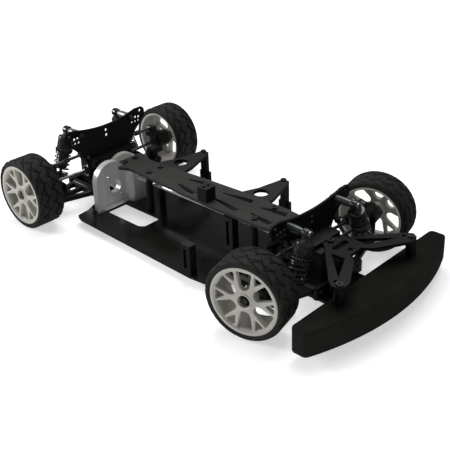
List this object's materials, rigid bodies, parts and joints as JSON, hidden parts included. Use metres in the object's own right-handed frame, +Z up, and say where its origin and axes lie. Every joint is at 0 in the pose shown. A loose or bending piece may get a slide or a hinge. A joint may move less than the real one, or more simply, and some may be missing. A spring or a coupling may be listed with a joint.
{
  "type": "rc drift car chassis",
  "caption": "Bare four-wheel-drive drift car chassis with centre shaft, sprung wishbones, steering and a wide foam bumper.",
  "frame": {"origin": "on the ground below the middle of the car's box", "axes": "+X forward along the car, +Y to the left, +Z up"},
  "size_m": [0.3644, 0.1962, 0.076],
  "materials": {
    "gloss_black_plate": "polished black composite plate with faint scratches",
    "matte_deck": "matte dark grey composite plate",
    "black_composite": "satin black composite plate",
    "black_plastic": "moulded black nylon with a fine grain",
    "mount_aluminium": "brushed grey aluminium",
    "bumper_foam": "closed-cell foam, matte charcoal with fine cells",
    "steel": "bright turned steel",
    "polished_shaft": "polished steel shaft",
    "dark_alloy": "dark grey-green anodised aluminium",
    "gear_nylon": "white nylon",
    "wheel_plastic": "off-white moulded plastic, semi-gloss",
    "tyre_rubber": "dark rubber with directional road tread",
    "spring_steel": "black painted coil spring"
  },
  "bodies": {
    "chassis": {"chassis_plate": "gloss_black_plate", "upper_deck": "matte_deck", "motor_mount": "mount_aluminium", "shock_towers": "black_composite", "gearbox_housings": "black_plastic", "bumper_foam": "bumper_foam", "bumper_brace": "black_composite", "posts_pins_and_screws": "dark_alloy", "battery_brackets": "black_plastic", "servo_mounts": "black_plastic"},
    "centre_shaft": {"centre_shaft": "polished_shaft", "spur_gear": "gear_nylon"},
    "front_differential": {"front_differential": "steel"},
    "front_left_arm": {"front_left_arm": "black_plastic"},
    "front_left_hub_carrier": {"front_left_hub_carrier": "black_plastic"},
    "front_left_camber_link": {"front_left_camber_link": "dark_alloy"},
    "front_left_shock_body": {"front_left_shock_body": "dark_alloy", "front_left_spring": "spring_steel"},
    "front_left_shock_rod": {"front_left_shock_rod": "steel"},
    "front_left_wheel": {"front_left_rim": "wheel_plastic", "front_left_tyre": "tyre_rubber", "front_left_axle": "steel"},
    "front_left_knuckle": {"front_left_knuckle": "black_plastic"},
    "front_left_driveshaft": {"front_left_driveshaft": "steel"},
    "front_right_arm": {"front_right_arm": "black_plastic"},
    "front_right_hub_carrier": {"front_right_hub_carrier": "black_plastic"},
    "front_right_camber_link": {"front_right_camber_link": "dark_alloy"},
    "front_right_shock_body": {"front_right_shock_body": "dark_alloy", "front_right_spring": "spring_steel"},
    "front_right_shock_rod": {"front_right_shock_rod": "steel"},
    "front_right_wheel": {"front_right_rim": "wheel_plastic", "front_right_tyre": "tyre_rubber", "front_right_axle": "steel"},
    "front_right_knuckle": {"front_right_knuckle": "black_plastic"},
    "front_right_driveshaft": {"front_right_driveshaft": "steel"},
    "rear_differential": {"rear_differential": "steel"},
    "rear_left_arm": {"rear_left_arm": "black_plastic"},
    "rear_left_hub_carrier": {"rear_left_hub_carrier": "black_plastic"},
    "rear_left_camber_link": {"rear_left_camber_link": "dark_alloy"},
    "rear_left_shock_body": {"rear_left_shock_body": "dark_alloy", "rear_left_spring": "spring_steel"},
    "rear_left_shock_rod": {"rear_left_shock_rod": "steel"},
    "rear_left_wheel": {"rear_left_rim": "wheel_plastic", "rear_left_tyre": "tyre_rubber", "rear_left_axle": "steel"},
    "rear_left_driveshaft": {"rear_left_driveshaft": "steel"},
    "rear_right_arm": {"rear_right_arm": "black_plastic"},
    "rear_right_hub_carrier": {"rear_right_hub_carrier": "black_plastic"},
    "rear_right_camber_link": {"rear_right_camber_link": "dark_alloy"},
    "rear_right_shock_body": {"rear_right_shock_body": "dark_alloy", "rear_right_spring": "spring_steel"},
    "rear_right_shock_rod": {"rear_right_shock_rod": "steel"},
    "rear_right_wheel": {"rear_right_rim": "wheel_plastic", "rear_right_tyre": "tyre_rubber", "rear_right_axle": "steel"},
    "rear_right_driveshaft": {"rear_right_driveshaft": "steel"},
    "drag_link": {"drag_link": "dark_alloy"},
    "steering_crank": {"steering_crank": "black_plastic"},
    "front_left_tie_rod": {"front_left_tie_rod": "dark_alloy"},
    "front_right_tie_rod": {"front_right_tie_rod": "dark_alloy"}
  },
  "joints": [
    {"name": "centre_shaft_spin", "type": "hinge", "parent": "chassis", "child": "centre_shaft", "pos_m": [0, 0, 0.03], "axis": [1, 0, 0], "continuous": true},
    {"name": "front_differential_spin", "type": "hinge", "parent": "chassis", "child": "front_differential", "pos_m": [0.1065, 0, 0.03], "axis": [0, 1, 0], "continuous": true},
    {"name": "front_left_arm_swing", "type": "hinge", "parent": "chassis", "child": "front_left_arm", "pos_m": [0.1065, 0.024, 0.014], "axis": [1, 0, 0], "range_deg": [-3, 7], "stiffness_Nm_per_rad": 1.1, "springref_deg": -3.72},
    {"name": "front_left_carrier_pivot", "type": "hinge", "parent": "front_left_arm", "child": "front_left_hub_carrier", "pos_m": [0.1065, 0.058, 0.015], "axis": [1, 0, 0], "range_deg": [-7, 3]},
    {"name": "front_left_link_swing", "type": "hinge", "parent": "chassis", "child": "front_left_camber_link", "pos_m": [0.1065, 0.025, 0.047], "axis": [1, 0, 0], "range_deg": [-3.14, 7.26]},
    {"name": "front_left_shock_swing", "type": "hinge", "parent": "chassis", "child": "front_left_shock_body", "pos_m": [0.1185, 0.029, 0.062], "axis": [1, 0, 0], "range_deg": [-0.24, 0.29]},
    {"name": "front_left_shock_travel", "type": "slide", "parent": "front_left_shock_body", "child": "front_left_shock_rod", "axis": [0, -0.3597, 0.9331], "range_m": [-0.00135, 0.00288], "deforming": ["front_left_spring"]},
    {"name": "front_left_steer", "type": "hinge", "parent": "front_left_hub_carrier", "child": "front_left_knuckle", "pos_m": [0.1065, 0.0668, 0.03175], "axis": [0, 0, 1], "range_deg": [-35.7, 8.3]},
    {"name": "front_left_wheel_spin", "type": "hinge", "parent": "front_left_knuckle", "child": "front_left_wheel", "pos_m": [0.1065, 0.0668, 0.03175], "axis": [-0.2368, 0.9715, 0], "continuous": true},
    {"name": "front_left_driveshaft_spin", "type": "hinge", "parent": "front_left_arm", "child": "front_left_driveshaft", "pos_m": [0.1065, 0.018, 0.03], "axis": [0, 0.9993, 0.0362], "continuous": true},
    {"name": "front_right_arm_swing", "type": "hinge", "parent": "chassis", "child": "front_right_arm", "pos_m": [0.1065, -0.024, 0.014], "axis": [-1, 0, 0], "range_deg": [-3, 7], "stiffness_Nm_per_rad": 1.1, "springref_deg": -3.72},
    {"name": "front_right_carrier_pivot", "type": "hinge", "parent": "front_right_arm", "child": "front_right_hub_carrier", "pos_m": [0.1065, -0.058, 0.015], "axis": [-1, 0, 0], "range_deg": [-7, 3]},
    {"name": "front_right_link_swing", "type": "hinge", "parent": "chassis", "child": "front_right_camber_link", "pos_m": [0.1065, -0.025, 0.047], "axis": [-1, 0, 0], "range_deg": [-3.14, 7.26]},
    {"name": "front_right_shock_swing", "type": "hinge", "parent": "chassis", "child": "front_right_shock_body", "pos_m": [0.1185, -0.029, 0.062], "axis": [-1, 0, 0], "range_deg": [-0.24, 0.29]},
    {"name": "front_right_shock_travel", "type": "slide", "parent": "front_right_shock_body", "child": "front_right_shock_rod", "axis": [0, 0.3597, 0.9331], "range_m": [-0.00135, 0.00288], "deforming": ["front_right_spring"]},
    {"name": "front_right_steer", "type": "hinge", "parent": "front_right_hub_carrier", "child": "front_right_knuckle", "pos_m": [0.1065, -0.0668, 0.03175], "axis": [0, 0, 1], "range_deg": [-35.7, 8.3]},
    {"name": "front_right_wheel_spin", "type": "hinge", "parent": "front_right_knuckle", "child": "front_right_wheel", "pos_m": [0.1065, -0.0668, 0.03175], "axis": [-0.2368, 0.9715, 0], "continuous": true},
    {"name": "front_right_driveshaft_spin", "type": "hinge", "parent": "front_right_arm", "child": "front_right_driveshaft", "pos_m": [0.1065, -0.018, 0.03], "axis": [0, 0.9993, -0.0362], "continuous": true},
    {"name": "rear_differential_spin", "type": "hinge", "parent": "chassis", "child": "rear_differential", "pos_m": [-0.1505, 0, 0.03], "axis": [0, 1, 0], "continuous": true},
    {"name": "rear_left_arm_swing", "type": "hinge", "parent": "chassis", "child": "rear_left_arm", "pos_m": [-0.1505, 0.024, 0.014], "axis": [1, 0, 0], "range_deg": [-3, 7], "stiffness_Nm_per_rad": 1.1, "springref_deg": -3.72},
    {"name": "rear_left_carrier_pivot", "type": "hinge", "parent": "rear_left_arm", "child": "rear_left_hub_carrier", "pos_m": [-0.1505, 0.06, 0.015], "axis": [1, 0, 0], "range_deg": [-7, 3]},
    {"name": "rear_left_link_swing", "type": "hinge", "parent": "chassis", "child": "rear_left_camber_link", "pos_m": [-0.1505, 0.025, 0.047], "axis": [1, 0, 0], "range_deg": [-3.14, 7.25]},
    {"name": "rear_left_shock_swing", "type": "hinge", "parent": "chassis", "child": "rear_left_shock_body", "pos_m": [-0.1625, 0.029, 0.07], "axis": [1, 0, 0], "range_deg": [-0.2, 0.2]},
    {"name": "rear_left_shock_travel", "type": "slide", "parent": "rear_left_shock_body", "child": "rear_left_shock_rod", "axis": [0, -0.3248, 0.9458], "range_m": [-0.0014, 0.003], "deforming": ["rear_left_spring"]},
    {"name": "rear_left_wheel_spin", "type": "hinge", "parent": "rear_left_hub_carrier", "child": "rear_left_wheel", "pos_m": [-0.1505, 0.082, 0.03175], "axis": [0, 1, 0], "continuous": true},
    {"name": "rear_left_driveshaft_spin", "type": "hinge", "parent": "rear_left_arm", "child": "rear_left_driveshaft", "pos_m": [-0.1505, 0.018, 0.03], "axis": [0, 0.9993, 0.0379], "continuous": true},
    {"name": "rear_right_arm_swing", "type": "hinge", "parent": "chassis", "child": "rear_right_arm", "pos_m": [-0.1505, -0.024, 0.014], "axis": [-1, 0, 0], "range_deg": [-3, 7], "stiffness_Nm_per_rad": 1.1, "springref_deg": -3.72},
    {"name": "rear_right_carrier_pivot", "type": "hinge", "parent": "rear_right_arm", "child": "rear_right_hub_carrier", "pos_m": [-0.1505, -0.06, 0.015], "axis": [-1, 0, 0], "range_deg": [-7, 3]},
    {"name": "rear_right_link_swing", "type": "hinge", "parent": "chassis", "child": "rear_right_camber_link", "pos_m": [-0.1505, -0.025, 0.047], "axis": [-1, 0, 0], "range_deg": [-3.14, 7.25]},
    {"name": "rear_right_shock_swing", "type": "hinge", "parent": "chassis", "child": "rear_right_shock_body", "pos_m": [-0.1625, -0.029, 0.07], "axis": [-1, 0, 0], "range_deg": [-0.2, 0.2]},
    {"name": "rear_right_shock_travel", "type": "slide", "parent": "rear_right_shock_body", "child": "rear_right_shock_rod", "axis": [0, 0.3248, 0.9458], "range_m": [-0.0014, 0.003], "deforming": ["rear_right_spring"]},
    {"name": "rear_right_wheel_spin", "type": "hinge", "parent": "rear_right_hub_carrier", "child": "rear_right_wheel", "pos_m": [-0.1505, -0.082, 0.03175], "axis": [0, 1, 0], "continuous": true},
    {"name": "rear_right_driveshaft_spin", "type": "hinge", "parent": "rear_right_arm", "child": "rear_right_driveshaft", "pos_m": [-0.1505, -0.018, 0.03], "axis": [0, 0.9993, -0.0379], "continuous": true},
    {"name": "drag_link_travel", "type": "slide", "parent": "chassis", "child": "drag_link", "axis": [0, 1, 0], "range_m": [-0.00263, 0.01066]},
    {"name": "front_left_tie_rod_swing", "type": "hinge", "parent": "drag_link", "child": "front_left_tie_rod", "pos_m": [0.087, 0.01197, 0.0262], "axis": [1, 0, 0], "range_deg": [-2.27, 5.16]},
    {"name": "front_right_tie_rod_swing", "type": "hinge", "parent": "drag_link", "child": "front_right_tie_rod", "pos_m": [0.087, -0.02003, 0.0262], "axis": [-1, 0, 0], "range_deg": [-2.27, 5.16]},
    {"name": "steering_crank_turn", "type": "hinge", "parent": "chassis", "child": "steering_crank", "pos_m": [0.071, 0, 0.0258], "axis": [0, 0, 1], "range_deg": [-9.13, 38.29]}
  ],
  "couplings": [
    {"joint": "centre_shaft_spin", "follows": "rear_left_wheel_spin", "ratio": 2.7857},
    {"joint": "front_differential_spin", "follows": "rear_left_wheel_spin", "ratio": 1},
    {"joint": "front_left_carrier_pivot", "follows": "front_left_arm_swing", "ratio": -1},
    {"joint": "front_left_link_swing", "follows": "front_left_arm_swing", "ratio": 1.0303},
    {"joint": "front_left_shock_swing", "follows": "front_left_arm_swing", "ratio": 0.01324},
    {"joint": "front_left_shock_travel", "follows": "front_left_arm_swing", "m_per_rad": 0.021962},
    {"joint": "front_left_wheel_spin", "follows": "rear_left_wheel_spin", "ratio": 1},
    {"joint": "front_left_driveshaft_spin", "follows": "rear_left_wheel_spin", "ratio": 1},
    {"joint": "front_right_carrier_pivot", "follows": "front_right_arm_swing", "ratio": -1},
    {"joint": "front_right_link_swing", "follows": "front_right_arm_swing", "ratio": 1.0303},
    {"joint": "front_right_shock_swing", "follows": "front_right_arm_swing", "ratio": 0.01324},
    {"joint": "front_right_shock_travel", "follows": "front_right_arm_swing", "m_per_rad": 0.021962},
    {"joint": "front_right_steer", "follows": "front_left_steer", "ratio": 1},
    {"joint": "front_right_wheel_spin", "follows": "rear_left_wheel_spin", "ratio": 1},
    {"joint": "front_right_driveshaft_spin", "follows": "rear_left_wheel_spin", "ratio": 1},
    {"joint": "rear_differential_spin", "follows": "rear_left_wheel_spin", "ratio": 1},
    {"joint": "rear_left_carrier_pivot", "follows": "rear_left_arm_swing", "ratio": -1},
    {"joint": "rear_left_link_swing", "follows": "rear_left_arm_swing", "ratio": 1.0286},
    {"joint": "rear_left_shock_swing", "follows": "rear_left_arm_swing", "ratio": 0.00067},
    {"joint": "rear_left_shock_travel", "follows": "rear_left_arm_swing", "m_per_rad": 0.022926},
    {"joint": "rear_left_driveshaft_spin", "follows": "rear_left_wheel_spin", "ratio": 1},
    {"joint": "rear_right_carrier_pivot", "follows": "rear_right_arm_swing", "ratio": -1},
    {"joint": "rear_right_link_swing", "follows": "rear_right_arm_swing", "ratio": 1.0286},
    {"joint": "rear_right_shock_swing", "follows": "rear_right_arm_swing", "ratio": 0.00067},
    {"joint": "rear_right_shock_travel", "follows": "rear_right_arm_swing", "m_per_rad": 0.022926},
    {"joint": "rear_right_wheel_spin", "follows": "rear_left_wheel_spin", "ratio": 1},
    {"joint": "rear_right_driveshaft_spin", "follows": "rear_left_wheel_spin", "ratio": 1},
    {"joint": "front_left_tie_rod_swing", "follows": "front_left_arm_swing", "ratio": 0.7233},
    {"joint": "front_right_tie_rod_swing", "follows": "front_right_arm_swing", "ratio": 0.7233},
    {"joint": "drag_link_travel", "follows": "front_left_steer", "m_per_rad": -0.016792},
    {"joint": "steering_crank_turn", "follows": "front_left_steer", "ratio": -1.0643}
  ]
}
